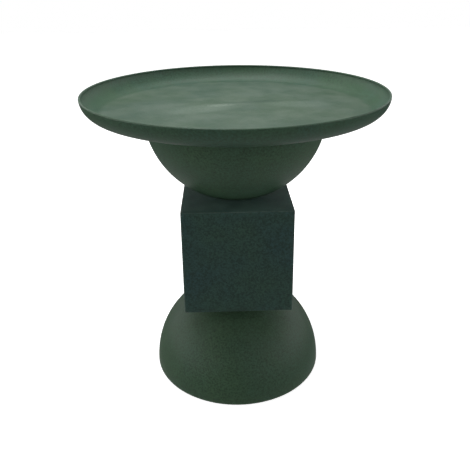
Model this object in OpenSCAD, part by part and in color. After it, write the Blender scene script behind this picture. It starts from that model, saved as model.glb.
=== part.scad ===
// Pedestal tray table: a round tray on a bowl, a square block and a dome,
// clamped together by one rod on their common axis.
// Millimetres, +Z up, origin on the floor under the middle of the table.

/* [Stack] */
// Outside diameter of the tray at its rim
tray_d = 492; // [380:1:620]
// Height of the tray, which is also the radius of its rounded wall
tray_h = 31; // [22:0.5:45]
// Outside diameter of the bowl and of the dome, which are the same pressing
sphere_d = 300; // [240:1:370]
// Depth of the cap that is flattened on each pressing to make its seat
seat_cut = 5.5; // [4:0.5:9]
// Width of the square block
block_w = 182; // [140:1:230]
// Height of the square block
block_h = 182; // [120:1:260]
// Gap between the floor and the bottom edge of the dome
foot_gap = 3; // [3:0.5:6]

/* [Sheet metal] */
// Sheet thickness of the tray
tray_t = 2; // [1.5:0.1:3]
// Thickness of the rolled edge of the tray
rim_bead_d = 3.5; // [3:0.1:5]
// Sheet thickness of the bowl and dome pressings
shell_t = 1.5; // [1:0.1:2.5]
// Sheet thickness of the folded wall of the block
wrap_t = 1.5; // [1:0.1:2.5]
// Outside bend radius at the corners of the block
corner_r = 2.5; // [2.5:0.1:6]
// Thickness of the block's end panels and of the base plate
panel_t = 2; // [1.5:0.1:3]
// Depth of the folded flange on each end panel
panel_flange_h = 14; // [8:1:25]

/* [Seats and gaskets] */
// Thickness of each gasket between painted parts
gasket_t = 1; // [0.5:0.1:2]
// Diameter of the two seat gaskets
seat_gasket_d = 72; // [60:1:76]
// Diameter of the saddle washers inside the bowl and dome
saddle_d = 68; // [56:1:76]
// Thickness of the saddle washers
saddle_t = 4; // [2:0.5:6]
// Radial width of the rings welded inside the bowl mouth and the dome foot
ring_w = 19; // [16:1:30]
// Thickness of those two rings
ring_t = 3; // [2:0.5:5]
// Radial width of the gasket under the tray
tray_gasket_w = 14; // [8:1:16]
// Distance of each locating pin from the axis
pin_offset = 24; // [16:1:26]
// Diameter of the locating pins
pin_d = 5; // [3:0.5:6]

/* [Tie rod] */
// Thread diameter of the tie rod
rod_d = 10; // [8:1:12]
// Outside diameter of the three spacer tubes on the rod
spacer_d = 20; // [17:1:24]
// Wall thickness of the spacer tubes
spacer_t = 2; // [1.5:0.5:2]
// Width across flats of the tie rod nut
rod_nut_w = 17; // [15:1:19]
// Height of the tie rod nut
rod_nut_h = 8; // [6:0.5:10]
// Diameter of the plain washer under that nut
rod_washer_d = 26; // [22:1:30]
// Thickness of the plain washer
rod_washer_t = 2; // [1:0.5:3]
// Diameter of the split lock washer
lock_washer_d = 18; // [16:1:20]
// Thickness of the split lock washer
lock_washer_t = 2.2; // [1.5:0.1:3]

/* [Tray hub] */
// Thickness of the hub disc under the tray
hub_t = 3; // [2:0.5:5]
// Diameter of the threaded boss on the hub
boss_d = 30; // [24:1:40]
// Height of the threaded boss
boss_h = 26; // [16:1:40]
// Distance of the tray's weld studs in from the edge of the hub
weld_stud_inset = 32; // [12:1:40]
// Diameter of the weld studs
weld_stud_d = 5; // [4:1:6]
// Length of the weld studs
weld_stud_l = 12; // [10:0.5:16]

/* [Base] */
// Radial gap between the ballast disc and the glides' weld nuts
ballast_gap = 14; // [4:1:20]
// Thickness of the ballast disc over the pocket of the tie rod nut
ballast_web_t = 7; // [5:0.5:20]
// Radial room for a socket spanner between the washer and the pocket's wall
spanner_gap = 7; // [4:0.5:8]
// Distance of the ballast bolts in from the edge of the ballast disc
ballast_bolt_inset = 28; // [10:1:28]
// Diameter of the ballast bolts
ballast_bolt_d = 6; // [5:1:8]
// Number of screws that hold the base plate
base_screw_count = 8; // [4:4:12]
// Diameter of those screws
base_screw_d = 5; // [4:1:6]

/* [Levelling glides] */
// Radial gap between the foot ring and the glides' weld nuts
glide_gap = 10; // [8:0.5:16]
// Diameter of a glide pad
pad_d = 28; // [22:1:30]
// Diameter of a glide stud
stud_d = 8; // [6:1:8]
// Length of a glide stud above its head
stud_l = 30; // [24:1:40]
// Diameter of the head at the foot of a glide stud
stud_head_d = 14; // [12:1:16]
// Width across flats of the weld nut that a glide stud turns in
insert_w = 13; // [12:1:15]
// Height of that weld nut
insert_h = 6.5; // [5:0.5:8]

/* [Hidden] */
$fn = 96;

paint = "#33463b";
steel = "silver";
iron = "dimgray";
rubber = "#202020";

// Clearances
thread_gap = 0.05;     // radial, between a thread and the bore that it runs in
hole_gap = 0.5;        // radial, in a clearance hole
weld_gap = 0.1;        // between a piece and the sheet that it is welded to
seat_gap = 0.5;        // radial, where one piece drops inside another
end_play = 0.2;        // above each spacer tube
cut = 1;               // overshoot of a cutting shape

// Radii
rim_r = tray_d / 2;
tray_floor_r = rim_r - tray_h;
bead_r = rim_bead_d / 2;
sphere_r = sphere_d / 2;
shell_h = sphere_r - seat_cut;
inner_r = sphere_r - shell_t;
ring_outer_r = sqrt(pow(inner_r, 2) - pow(panel_t + ring_t, 2)) - weld_gap;
ring_inner_r = ring_outer_r - ring_w;
ring_mid_r = ring_outer_r - ring_w / 2;
plate_r = sqrt(pow(inner_r, 2) - pow(panel_t, 2)) - seat_gap;
hub_r = ring_inner_r - seat_gap;
weld_stud_offset = hub_r - weld_stud_inset;
insert_corner_r = insert_w / 2 / cos(30);
glide_offset = ring_inner_r - glide_gap - insert_corner_r;
ballast_r = glide_offset - insert_corner_r - ballast_gap;
ballast_bolt_offset = ballast_r - ballast_bolt_inset;
pocket_r = rod_washer_d / 2 + spanner_gap;
rod_r = rod_d / 2 - thread_gap;
rod_hole_r = rod_d / 2 + hole_gap;
pin_hole_r = pin_d / 2 + thread_gap;

// Heights of the joints in the stack
dome_z = foot_gap;
dome_top_z = dome_z + shell_h;
block_z = dome_top_z + gasket_t;
block_top_z = block_z + block_h;
bowl_z = block_top_z + gasket_t;
bowl_mouth_z = bowl_z + shell_h;
tray_z = bowl_mouth_z + gasket_t;
tray_top_z = tray_z + tray_h;

// Heights inside the base
rod_tail = 1.2;        // thread that shows below the nut
cap_gap = 0.6;         // between the end of the rod and the cap
cap_lip_t = 1;
cap_lip_w = 2;
cap_plug_h = panel_t + 1;
plate_top_z = dome_z + panel_t;
rod_bottom_z = dome_z + cap_plug_h + cap_gap;
rod_nut_z = rod_bottom_z + rod_tail;
lock_washer_z = rod_nut_z + rod_nut_h;
rod_washer_z = lock_washer_z + lock_washer_t;
pocket_top_z = rod_washer_z + rod_washer_t;
pocket_h = pocket_top_z - plate_top_z;
ballast_h = pocket_h + ballast_web_t;
ballast_top_z = plate_top_z + ballast_h;

// Heights inside the dome and bowl
dome_saddle_z = dome_top_z - shell_t - saddle_t;
bowl_saddle_z = bowl_z + shell_t;
hub_z = tray_z - hub_t;
boss_z = hub_z - boss_h;
rod_top_gap = 4;       // free thread above the end of the rod
rod_top_z = hub_z - rod_top_gap;
pin_reach = 2;         // length of a pin inside the block

// Small fasteners
low_head_h = 1.5;
head_over = 2.5;       // how far a head reaches past its shank
small_nut_h = 4;
small_nut_w = 8;
small_washer_t = 1;
small_washer_d = 10;
square_turns = [45, 135, 225, 315];
lock_split = 2;

// Levelling glides
pad_floor_t = 0.8;
stud_head_h = 1.2;
head_play = 0.2;
head_gap = 0.1;
stud_key_w = 4;
stud_key_h = 0.9;
key_hole_d = 7;
pad_edge = 0.6;

// A flat ring or disc standing on the given height
module ring(outer_r, hole_r, z, h) {
    translate([0, 0, z]) difference() {
        cylinder(r = outer_r, h = h);
        if (hole_r > 0) translate([0, 0, -cut]) cylinder(r = hole_r, h = h + 2 * cut);
    }
}

// A hexagon nut with a round bore
module hex_nut(across_flats, bore_r, z, h) {
    translate([0, 0, z]) difference() {
        cylinder(d = across_flats / cos(30), h = h, $fn = 6);
        translate([0, 0, -cut]) cylinder(r = bore_r, h = h + 2 * cut);
    }
}

// Copies of the children at a distance from the axis, one for each angle
module around(offset_r, turns) {
    for (turn = turns) rotate([0, 0, turn]) translate([offset_r, 0, 0]) children();
}

function even_turns(count) = [for (i = [0 : count - 1]) (i + 0.5) * 360 / count];

// Both holes for the locating pins, through everything between two heights
module pin_holes(z, h) {
    around(pin_offset, [0, 180]) translate([0, 0, z - cut]) cylinder(r = pin_hole_r, h = h + 2 * cut);
}

// Outline of the tray's solid form, shrunk by a wall thickness
module tray_outline(inset) {
    translate([0, inset]) square([tray_floor_r, tray_h - inset]);
    intersection() {
        translate([tray_floor_r, tray_h]) circle(r = tray_h - inset);
        translate([tray_floor_r, 0]) square([tray_h, tray_h]);
    }
}

module tray() {
    color(paint) translate([0, 0, tray_z]) rotate_extrude() {
        intersection() {
            difference() {
                tray_outline(0);
                tray_outline(tray_t);
            }
            square([rim_r, tray_h - bead_r]);
        }
        translate([rim_r - bead_r, tray_h - bead_r]) circle(r = bead_r);
    }
}

module tray_weld_studs() {
    color(steel) around(weld_stud_offset, square_turns)
        translate([0, 0, tray_z - weld_stud_l]) cylinder(d = weld_stud_d, h = weld_stud_l);
}

module tray_hub() {
    color(steel) difference() {
        union() {
            translate([0, 0, hub_z]) cylinder(r = hub_r, h = hub_t);
            translate([0, 0, boss_z]) cylinder(d = boss_d, h = boss_h + hub_t / 2);
        }
        translate([0, 0, boss_z - cut]) cylinder(d = rod_d, h = boss_h + cut);
        around(weld_stud_offset, square_turns)
            translate([0, 0, hub_z - cut]) cylinder(r = weld_stud_d / 2 + hole_gap, h = hub_t + 2 * cut);
    }
}

module hub_washers() {
    color(steel) around(weld_stud_offset, square_turns)
        ring(small_washer_d / 2, weld_stud_d / 2 + thread_gap, hub_z - small_washer_t, small_washer_t);
}

module hub_nuts() {
    color(steel) around(weld_stud_offset, square_turns)
        hex_nut(small_nut_w, weld_stud_d / 2 + thread_gap, hub_z - small_washer_t - small_nut_h, small_nut_h);
}

module tray_gasket() {
    color(rubber) ring(ring_mid_r + tray_gasket_w / 2, ring_mid_r - tray_gasket_w / 2, bowl_mouth_z, gasket_t);
}

// Half-sphere pressing with its mouth on z = 0 and its drilled flat seat on top
module pressing() {
    difference() {
        rotate_extrude() difference() {
            intersection() {
                circle(r = sphere_r);
                square([sphere_r, shell_h]);
            }
            intersection() {
                circle(r = inner_r);
                translate([0, -cut]) square([sphere_r, shell_h - shell_t + cut]);
            }
        }
        translate([0, 0, shell_h - shell_t - cut]) cylinder(r = rod_hole_r, h = shell_t + 2 * cut);
        pin_holes(shell_h - shell_t, shell_t);
    }
}

// Thick drilled washer that backs a seat
module saddle_washer(z) {
    color(steel) difference() {
        ring(saddle_d / 2, rod_hole_r, z, saddle_t);
        pin_holes(z, saddle_t);
    }
}

module seat_gasket(z) {
    color(rubber) difference() {
        ring(seat_gasket_d / 2, rod_hole_r, z, gasket_t);
        pin_holes(z, gasket_t);
    }
}

module locating_pins(z, h) {
    color(steel) around(pin_offset, [0, 180]) translate([0, 0, z]) cylinder(d = pin_d, h = h);
}

// Tube on the tie rod from one seat up to the next
module spacer_tube(z, top_z) {
    color(steel) ring(spacer_d / 2, spacer_d / 2 - spacer_t, z, top_z - z - end_play);
}

module bowl_shell() {
    color(paint) translate([0, 0, bowl_mouth_z]) mirror([0, 0, 1]) pressing();
}

module bowl_mouth_ring() {
    color(paint) ring(ring_outer_r, ring_inner_r, bowl_mouth_z - ring_t, ring_t);
}

module bowl_saddle_washer() {
    saddle_washer(bowl_saddle_z);
}

module bowl_spacer_tube() {
    spacer_tube(bowl_saddle_z + saddle_t, boss_z);
}

module upper_seat_gasket() {
    seat_gasket(block_top_z);
}

module upper_locating_pins() {
    locating_pins(block_top_z - panel_t - pin_reach, panel_t + pin_reach + gasket_t + shell_t + saddle_t);
}

// Square with rounded corners, centred on the axis
module rounded_square(side, r) {
    square([side - 2 * r, side], center = true);
    square([side, side - 2 * r], center = true);
    for (x = [-1, 1], y = [-1, 1]) translate([x * (side / 2 - r), y * (side / 2 - r)]) circle(r = r);
}

module block_wrap() {
    color(paint) translate([0, 0, block_z]) linear_extrude(block_h) difference() {
        rounded_square(block_w, corner_r);
        rounded_square(block_w - 2 * wrap_t, corner_r - wrap_t);
    }
}

// End panel with its flange folded up, lying on z = 0
module end_panel() {
    panel_w = block_w - 2 * (wrap_t + weld_gap);
    panel_r = corner_r - wrap_t + weld_gap;
    difference() {
        linear_extrude(panel_flange_h) rounded_square(panel_w, panel_r);
        translate([0, 0, panel_t])
            linear_extrude(panel_flange_h) square(panel_w - 2 * panel_t, center = true);
        translate([0, 0, -cut]) cylinder(r = rod_hole_r, h = panel_t + 2 * cut);
        pin_holes(0, panel_t);
    }
}

module block_bottom_panel() {
    color(paint) translate([0, 0, block_z]) end_panel();
}

module block_top_panel() {
    color(paint) translate([0, 0, block_top_z]) mirror([0, 0, 1]) end_panel();
}

module block_spacer_tube() {
    spacer_tube(block_z + panel_t, block_top_z - panel_t);
}

module lower_seat_gasket() {
    seat_gasket(dome_top_z);
}

module lower_locating_pins() {
    locating_pins(dome_saddle_z, saddle_t + shell_t + gasket_t + panel_t + pin_reach);
}

module dome_shell() {
    color(paint) translate([0, 0, dome_z]) pressing();
}

module dome_saddle_washer() {
    saddle_washer(dome_saddle_z);
}

module dome_foot_ring() {
    color(paint) difference() {
        ring(ring_outer_r, ring_inner_r, plate_top_z, ring_t);
        around(ring_mid_r, even_turns(base_screw_count))
            translate([0, 0, plate_top_z - cut])
                cylinder(r = base_screw_d / 2 + thread_gap, h = ring_t + 2 * cut);
    }
}

module dome_spacer_tube() {
    spacer_tube(ballast_top_z, dome_saddle_z);
}

module base_plate() {
    color(paint) difference() {
        ring(plate_r, pocket_r, dome_z, panel_t);
        translate([0, 0, dome_z - cut]) {
            around(ring_mid_r, even_turns(base_screw_count))
                cylinder(r = base_screw_d / 2 + hole_gap, h = panel_t + 2 * cut);
            around(ballast_bolt_offset, square_turns)
                cylinder(r = ballast_bolt_d / 2 + hole_gap, h = panel_t + 2 * cut);
            around(glide_offset, square_turns)
                cylinder(r = stud_d / 2 + hole_gap, h = panel_t + 2 * cut);
        }
    }
}

// Low-headed screw pointing up, its head against the underside of the base plate
module base_fastener(shank_d, shank_l) {
    translate([0, 0, dome_z - low_head_h]) difference() {
        cylinder(r = shank_d / 2 + head_over, h = low_head_h);
        translate([0, 0, -cut]) cylinder(d = shank_d, h = low_head_h / 2 + cut, $fn = 6);
    }
    translate([0, 0, dome_z]) cylinder(d = shank_d, h = shank_l);
}

module base_screws() {
    color(steel) around(ring_mid_r, even_turns(base_screw_count))
        base_fastener(base_screw_d, panel_t + ring_t);
}

module ballast_disc() {
    color(iron) difference() {
        ring(ballast_r, rod_hole_r, plate_top_z, ballast_h);
        translate([0, 0, plate_top_z - cut]) cylinder(r = pocket_r, h = pocket_h + cut);
        around(ballast_bolt_offset, square_turns) translate([0, 0, plate_top_z - cut])
            cylinder(r = ballast_bolt_d / 2 + thread_gap, h = ballast_h / 2 + 2 * cut);
    }
}

module ballast_bolts() {
    color(steel) around(ballast_bolt_offset, square_turns)
        base_fastener(ballast_bolt_d, panel_t + ballast_h / 2);
}

// Push-in plug that closes the access hole under the tie rod nut
module access_cap() {
    color(rubber) {
        ring(pocket_r + cap_lip_w, 0, dome_z - cap_lip_t, cap_lip_t);
        ring(pocket_r - thread_gap, 0, dome_z, cap_plug_h);
    }
}

module tie_rod() {
    color(steel) translate([0, 0, rod_bottom_z]) cylinder(r = rod_r, h = rod_top_z - rod_bottom_z);
}

module tie_rod_washer() {
    color(steel) ring(rod_washer_d / 2, rod_hole_r, rod_washer_z, rod_washer_t);
}

module tie_rod_lock_washer() {
    color(steel) difference() {
        ring(lock_washer_d / 2, rod_d / 2 + thread_gap, lock_washer_z, lock_washer_t);
        translate([0, -lock_split / 2, lock_washer_z - cut])
            cube([lock_washer_d, lock_split, lock_washer_t + 2 * cut]);
    }
}

module tie_rod_nut() {
    color(steel) hex_nut(rod_nut_w, rod_d / 2, rod_nut_z, rod_nut_h);
}

module glide_inserts() {
    color(steel) around(glide_offset, square_turns) hex_nut(insert_w, stud_d / 2, plate_top_z, insert_h);
}

// Threaded stud of one glide, with a key socket in its trapped head
module glide_stud(turn) {
    head_z = pad_floor_t + head_play;
    color(steel) around(glide_offset, [turn]) difference() {
        union() {
            translate([0, 0, head_z]) cylinder(d = stud_head_d, h = stud_head_h);
            translate([0, 0, head_z]) cylinder(r = stud_d / 2 - thread_gap, h = stud_head_h + stud_l);
        }
        translate([0, 0, head_z - cut]) cylinder(d = stud_key_w / cos(30), h = stud_key_h + cut, $fn = 6);
    }
}

// Pad that stays flat on the floor while its stud turns
module glide_pad(turn) {
    head_z = pad_floor_t + head_play;
    color(rubber) around(glide_offset, [turn]) difference() {
        union() {
            cylinder(d1 = pad_d - 2 * pad_edge, d2 = pad_d, h = pad_edge);
            translate([0, 0, pad_edge]) cylinder(d = pad_d, h = foot_gap - pad_edge);
        }
        translate([0, 0, -cut]) cylinder(d = key_hole_d, h = foot_gap);
        translate([0, 0, pad_floor_t])
            cylinder(r = stud_head_d / 2 + head_gap, h = head_z + stud_head_h - pad_floor_t);
        translate([0, 0, pad_floor_t]) cylinder(r = stud_d / 2 + head_gap, h = foot_gap);
    }
}

tray();
tray_weld_studs();
tray_hub();
hub_washers();
hub_nuts();
tray_gasket();
bowl_shell();
bowl_mouth_ring();
bowl_saddle_washer();
bowl_spacer_tube();
upper_seat_gasket();
upper_locating_pins();
block_wrap();
block_top_panel();
block_bottom_panel();
block_spacer_tube();
lower_seat_gasket();
lower_locating_pins();
dome_shell();
dome_saddle_washer();
dome_foot_ring();
dome_spacer_tube();
base_plate();
base_screws();
ballast_disc();
ballast_bolts();
access_cap();
tie_rod();
tie_rod_washer();
tie_rod_lock_washer();
tie_rod_nut();
glide_inserts();
glide_stud(45);  // glide_stud_1
glide_stud(135);  // glide_stud_2
glide_stud(225);  // glide_stud_3
glide_stud(315);  // glide_stud_4
glide_pad(45);  // glide_pad_1
glide_pad(135);  // glide_pad_2
glide_pad(225);  // glide_pad_3
glide_pad(315);  // glide_pad_4
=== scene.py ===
"""Looks of the pedestal tray table: sheet metal shells, fasteners, finishes, studio and camera.

Everything is in metres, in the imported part's own frame: +Z up, with the floor at z = 0.
"""
import logging
import math
from dataclasses import dataclass
from enum import Enum
from typing import Any, Callable, Iterable, Sequence

import bmesh
import bpy
from mathutils import Matrix, Vector, noise


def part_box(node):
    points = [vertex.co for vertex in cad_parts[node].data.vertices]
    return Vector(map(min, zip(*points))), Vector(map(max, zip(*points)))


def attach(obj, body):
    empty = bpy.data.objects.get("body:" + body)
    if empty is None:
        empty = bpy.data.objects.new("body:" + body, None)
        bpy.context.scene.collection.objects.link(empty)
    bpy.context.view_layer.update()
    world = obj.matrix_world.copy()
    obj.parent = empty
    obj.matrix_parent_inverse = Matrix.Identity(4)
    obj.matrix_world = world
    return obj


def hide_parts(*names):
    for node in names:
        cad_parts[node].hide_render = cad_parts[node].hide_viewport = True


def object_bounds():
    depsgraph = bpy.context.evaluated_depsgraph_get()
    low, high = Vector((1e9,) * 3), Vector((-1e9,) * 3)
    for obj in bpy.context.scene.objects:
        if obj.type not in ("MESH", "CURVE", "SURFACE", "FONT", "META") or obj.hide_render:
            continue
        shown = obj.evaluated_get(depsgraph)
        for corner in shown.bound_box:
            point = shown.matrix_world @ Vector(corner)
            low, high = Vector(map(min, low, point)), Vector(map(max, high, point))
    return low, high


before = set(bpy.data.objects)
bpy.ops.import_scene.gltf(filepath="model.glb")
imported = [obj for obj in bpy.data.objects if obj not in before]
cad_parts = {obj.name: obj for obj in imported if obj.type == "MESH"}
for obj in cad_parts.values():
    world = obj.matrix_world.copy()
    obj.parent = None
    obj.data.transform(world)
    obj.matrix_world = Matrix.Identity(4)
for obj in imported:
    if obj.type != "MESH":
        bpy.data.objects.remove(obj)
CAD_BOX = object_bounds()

LOG = logging.getLogger("table")
Colour = tuple[float, float, float]
Place = tuple[float, float, float]
Point = tuple[float, float]
Outline = list[Point]
Loop = list[Vector]
Socket = bpy.types.NodeSocket

MM = 0.001
ROUND = 96              # points around a small turned piece
WIDE_ROUND = 216        # points around the tray, bowl and dome
BOLT_ROUND = 48         # points around a screw, pin or drill
ROD_ROUND = 36          # points around the tie rod and the weld studs
WELD = 2e-6             # points closer than this become one
SHARP = math.radians(32)
SOFT_TURN, HARD_TURN = math.radians(7), math.radians(28)    # unworn and fully worn edges
HEX = math.cos(math.pi / 6)     # a hexagon's flat over its corner
SQUARE_TURNS = (45.0, 135.0, 225.0, 315.0)
EDGE = "edge"           # point attribute: 1 on an outer edge, 0 on a flat


class Slot(Enum):
    """Material slots of the record."""

    PAINT = "green_paint"
    ZINC = "zinc_steel"
    IRON = "cast_iron"
    RUBBER = "black_rubber"
    PLASTIC = "black_plastic"


# ---------------------------------------------------------------- outlines and forms


def arc(centre: Point, radius: float, start: float, end: float, steps: int) -> Outline:
    """Points along an arc.

    Args:
        centre: Middle of the arc, as radius and height.
        radius: Radius of the arc.
        start: First angle in degrees, 0 pointing outward and 90 up.
        end: Last angle in degrees.
        steps: Number of steps between the two.

    Returns:
        The points, both ends included.
    """
    turns = [math.radians(start + (end - start) * i / steps) for i in range(steps + 1)]
    return [(centre[0] + radius * math.cos(a), centre[1] + radius * math.sin(a)) for a in turns]


def filleted(corners: Sequence[tuple[float, float, float]], steps: int = 3) -> Outline:
    """Closed outline with each of its corners rounded.

    Args:
        corners: Radius, height and fillet radius of each corner.
        steps: Steps in each fillet.

    Returns:
        The outline's points.
    """
    nearly_straight, share = math.radians(88), 0.49
    points: Outline = []
    for i, (x, y, radius) in enumerate(corners):
        here = Vector((x, y))
        back = Vector(corners[i - 1][:2]) - here
        ahead = Vector(corners[(i + 1) % len(corners)][:2]) - here
        half = back.angle(ahead) / 2
        if radius <= 0 or half > nearly_straight:
            points.append((x, y))
            continue
        reach = min(radius / math.tan(half), share * back.length, share * ahead.length)
        halfway = (back.normalized() + ahead.normalized()).normalized()
        middle = here + halfway * (reach / math.cos(half))
        first = here + back.normalized() * reach - middle
        last = here + ahead.normalized() * reach - middle
        start = math.atan2(first.y, first.x)
        sweep = math.remainder(math.atan2(last.y, last.x) - start, math.tau)
        for k in range(steps + 1):
            angle, size = start + sweep * k / steps, first.length
            points.append((middle.x + size * math.cos(angle), middle.y + size * math.sin(angle)))
    return points


def spread(outline: Outline, step: float) -> Outline:
    """Closed outline with extra points, so that no side is longer than a step."""
    points: Outline = []
    for i, (x, y) in enumerate(outline):
        nx, ny = outline[(i + 1) % len(outline)]
        count = max(1, math.ceil(math.hypot(nx - x, ny - y) / step))
        points += [(x + (nx - x) * k / count, y + (ny - y) * k / count) for k in range(count)]
    return points


def ring(outer: float, inner: float, low: float, high: float, fillet: float) -> Outline:
    """Outline of a flat ring, or of a disc when the inner radius is 0."""
    bore = fillet if inner > 0 else 0.0
    return filleted([(inner, low, bore), (outer, low, fillet), (outer, high, fillet), (inner, high, bore)])


def even_turns(count: int) -> list[float]:
    """Angles of so many fasteners, spread evenly and half a step off the X axis."""
    return [(i + 0.5) * 360 / count for i in range(count)]


@dataclass(frozen=True)
class Station:
    """One level of a turned or hexagonal piece."""

    radius: float
    height: float
    flats: float = math.inf     # distance from the axis to a flat of the hexagon

    def reach(self, angle: float) -> float:
        """Distance from the axis to the surface at an angle."""
        return min(self.radius, self.flats / math.cos(angle % (math.pi / 3) - math.pi / 6))

    def loop(self, count: int) -> Loop:
        """Points of this level, in order round the axis."""
        reaches = [(a, self.reach(a)) for a in (math.tau * i / count for i in range(count))]
        return [Vector((r * math.cos(a), r * math.sin(a), self.height)) for a, r in reaches]


@dataclass(frozen=True)
class Hole:
    """A round hole straight down through a piece."""

    x: float
    y: float
    radius: float


def holes_around(offset: float, turns: Iterable[float], radius: float) -> list[Hole]:
    """Round holes at a distance from the axis, one for each angle in degrees."""
    angles = [math.radians(t) for t in turns]
    return [Hole(offset * math.cos(a), offset * math.sin(a), radius) for a in angles]


class Form:
    """A shape being built: points and faces in metres."""

    def __init__(self) -> None:
        """Starts empty."""
        self.points: list[Vector] = []
        self.faces: list[tuple[int, ...]] = []

    def skin(self, loops: Sequence[Loop], wrap: bool) -> "Form":
        """Lays a skin of faces over loops of equal length.

        Args:
            loops: Closed loops of points, one after the other.
            wrap: Whether the last loop joins the first.

        Returns:
            This form.
        """
        base, count = len(self.points), len(loops[0])
        for loop in loops:
            self.points += loop
        for i in range(len(loops) if wrap else len(loops) - 1):
            low, high = base + i * count, base + (i + 1) % len(loops) * count
            for k in range(count):
                n = (k + 1) % count
                self.faces.append((low + k, low + n, high + n, high + k))
        return self

    def moved(self, change: Callable[[Vector], Vector]) -> "Form":
        """Passes every point through a function."""
        self.points = [change(p) for p in self.points]
        return self

    def copied(self, places: Iterable[Matrix]) -> "Form":
        """Replaces the form by copies, one at each place."""
        points, faces, size = self.points, self.faces, len(self.points)
        self.points, self.faces = [], []
        for i, place in enumerate(places):
            self.points += [place @ p for p in points]
            self.faces += [tuple(k + i * size for k in f) for f in faces]
        return self

    def around(self, radius: float, turns: Iterable[float]) -> "Form":
        """Copies at a distance from the axis, one for each angle in degrees."""
        out = Matrix.Translation((radius, 0, 0))
        return self.copied(Matrix.Rotation(math.radians(t), 4, "Z") @ out for t in turns)

    def mesh(self, name: str) -> bpy.types.Mesh:
        """The form as a clean mesh with outward faces."""
        mesh = bpy.data.meshes.new(name)
        mesh.from_pydata(self.points, [], self.faces)
        shape = bmesh.new()
        shape.from_mesh(mesh)
        bmesh.ops.remove_doubles(shape, verts=shape.verts, dist=WELD)
        loose = [v for v in shape.verts if not v.link_faces]
        bmesh.ops.delete(shape, geom=loose, context="VERTS")
        bmesh.ops.recalc_face_normals(shape, faces=shape.faces)
        shape.to_mesh(mesh)
        shape.free()
        return mesh


def turned(outline: Outline, count: int = ROUND) -> Form:
    """A form turned about the axis from a closed outline of radius and height."""
    on_axis = outline[0][0] == 0 and outline[-1][0] == 0
    return Form().skin([Station(r, z).loop(count) for r, z in outline], not on_axis)


def hex_nut(flats: float, bore: float, low: float, high: float, chamfer: float) -> Form:
    """A hexagon nut with chamfered corners.

    Args:
        flats: Distance from the axis to a flat.
        bore: Radius of its hole.
        low: Height of its lower face.
        high: Height of its upper face.
        chamfer: Depth that the corners are turned down at both faces.

    Returns:
        The nut, standing on the axis.
    """
    corner, land = flats / HEX, flats * 0.95
    bite = min(chamfer, (high - low) / 3)
    levels = [(bore, low), (land, low), (corner, low + bite), (corner, high - bite), (land, high), (bore, high)]
    return Form().skin([Station(r, z, flats).loop(ROUND) for r, z in levels], True)


def pole(height: float, count: int) -> Loop:
    """A loop shrunk to one point on the axis, which closes a skin."""
    return [Vector((0, 0, height))] * count


def thread_loops(radius: float, pitch: float, low: float, high: float, count: int) -> list[Loop]:
    """Loops of an outside thread that tapers in at both ends.

    Args:
        radius: Radius over the crests.
        pitch: Height of one turn.
        low: Height of the lower end.
        high: Height of the upper end.
        count: Points in one loop.

    Returns:
        The loops, from the lower end up.
    """
    depth, rows, taper, steepness = pitch * 0.55, math.ceil((high - low) / pitch * 6), 0.1, 2.4
    root = radius - depth
    loops: list[Loop] = []
    for row in range(rows + 1):
        z = low + (high - low) * row / rows
        limit = root + depth * min(1.0, (high - z) / pitch + taper, (z - low) / pitch + taper)
        loop = []
        for k in range(count):
            phase, angle = (z / pitch - k / count) % 1.0, math.tau * k / count
            r = min(limit, root + depth * min(1.0, steepness * min(phase, 1 - phase)))
            loop.append(Vector((r * math.cos(angle), r * math.sin(angle), z)))
        loops.append(loop)
    return loops


def square_loop(half: float, radius: float, height: float, per_side: int, per_corner: int) -> Loop:
    """A level square with rounded corners.

    Args:
        half: Half of its width.
        radius: Corner radius.
        height: Height of the loop.
        per_side: Steps along each straight side.
        per_corner: Steps round each corner.

    Returns:
        Its points, in order round the axis.
    """
    straight = half - radius
    points: Loop = []
    for side in range(4):
        turn = Matrix.Rotation(side * math.pi / 2, 3, "Z")
        flat = [(half, -straight + 2 * straight * i / per_side) for i in range(per_side)]
        bend = arc((straight, straight), radius, 0, 90, per_corner)[:-1]
        points += [turn @ Vector((x, y, height)) for x, y in flat + bend]
    return points


def outward(p: Vector) -> Vector:
    """Level direction from the axis to a point."""
    return Vector((p.x, p.y, 0)).normalized()


def wavy(depth: float, size: float) -> Callable[[Vector], Vector]:
    """A function that moves points in and out from the axis by slow waves.

    Args:
        depth: Largest movement.
        size: Width of a wave.

    Returns:
        The function.
    """
    return lambda p: p + outward(p) * depth * noise.noise(p / size)


def drill(mesh: bpy.types.Mesh, holes: Sequence[Hole]) -> bpy.types.Mesh:
    """Cuts round holes down through a mesh.

    Args:
        mesh: The mesh to cut.
        holes: The holes.

    Returns:
        The cut mesh, or the same one when there are no holes.
    """
    if not holes:
        return mesh
    heights = [v.co.z for v in mesh.vertices]
    low, high = min(heights) - MM, max(heights) + MM
    rods = Form()
    for hole in holes:
        rod = turned([(0, low), (hole.radius, low), (hole.radius, high), (0, high)], BOLT_ROUND)
        rod.copied([Matrix.Translation((hole.x, hole.y, 0))])
        size = len(rods.points)
        rods.points += rod.points
        rods.faces += [tuple(k + size for k in f) for f in rod.faces]
    body = bpy.data.objects.new("being_drilled", mesh)
    cutter = bpy.data.objects.new("drill", rods.mesh("drill"))
    for thing in (body, cutter):
        bpy.context.scene.collection.objects.link(thing)
    cut = body.modifiers.new("cut", "BOOLEAN")
    cut.operation, cut.solver, cut.object = "DIFFERENCE", "EXACT", cutter
    bpy.context.view_layer.update()
    graph = bpy.context.evaluated_depsgraph_get()
    result = bpy.data.meshes.new_from_object(body.evaluated_get(graph))
    for thing in (body, cutter):
        bpy.data.objects.remove(thing)
    return result


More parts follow.
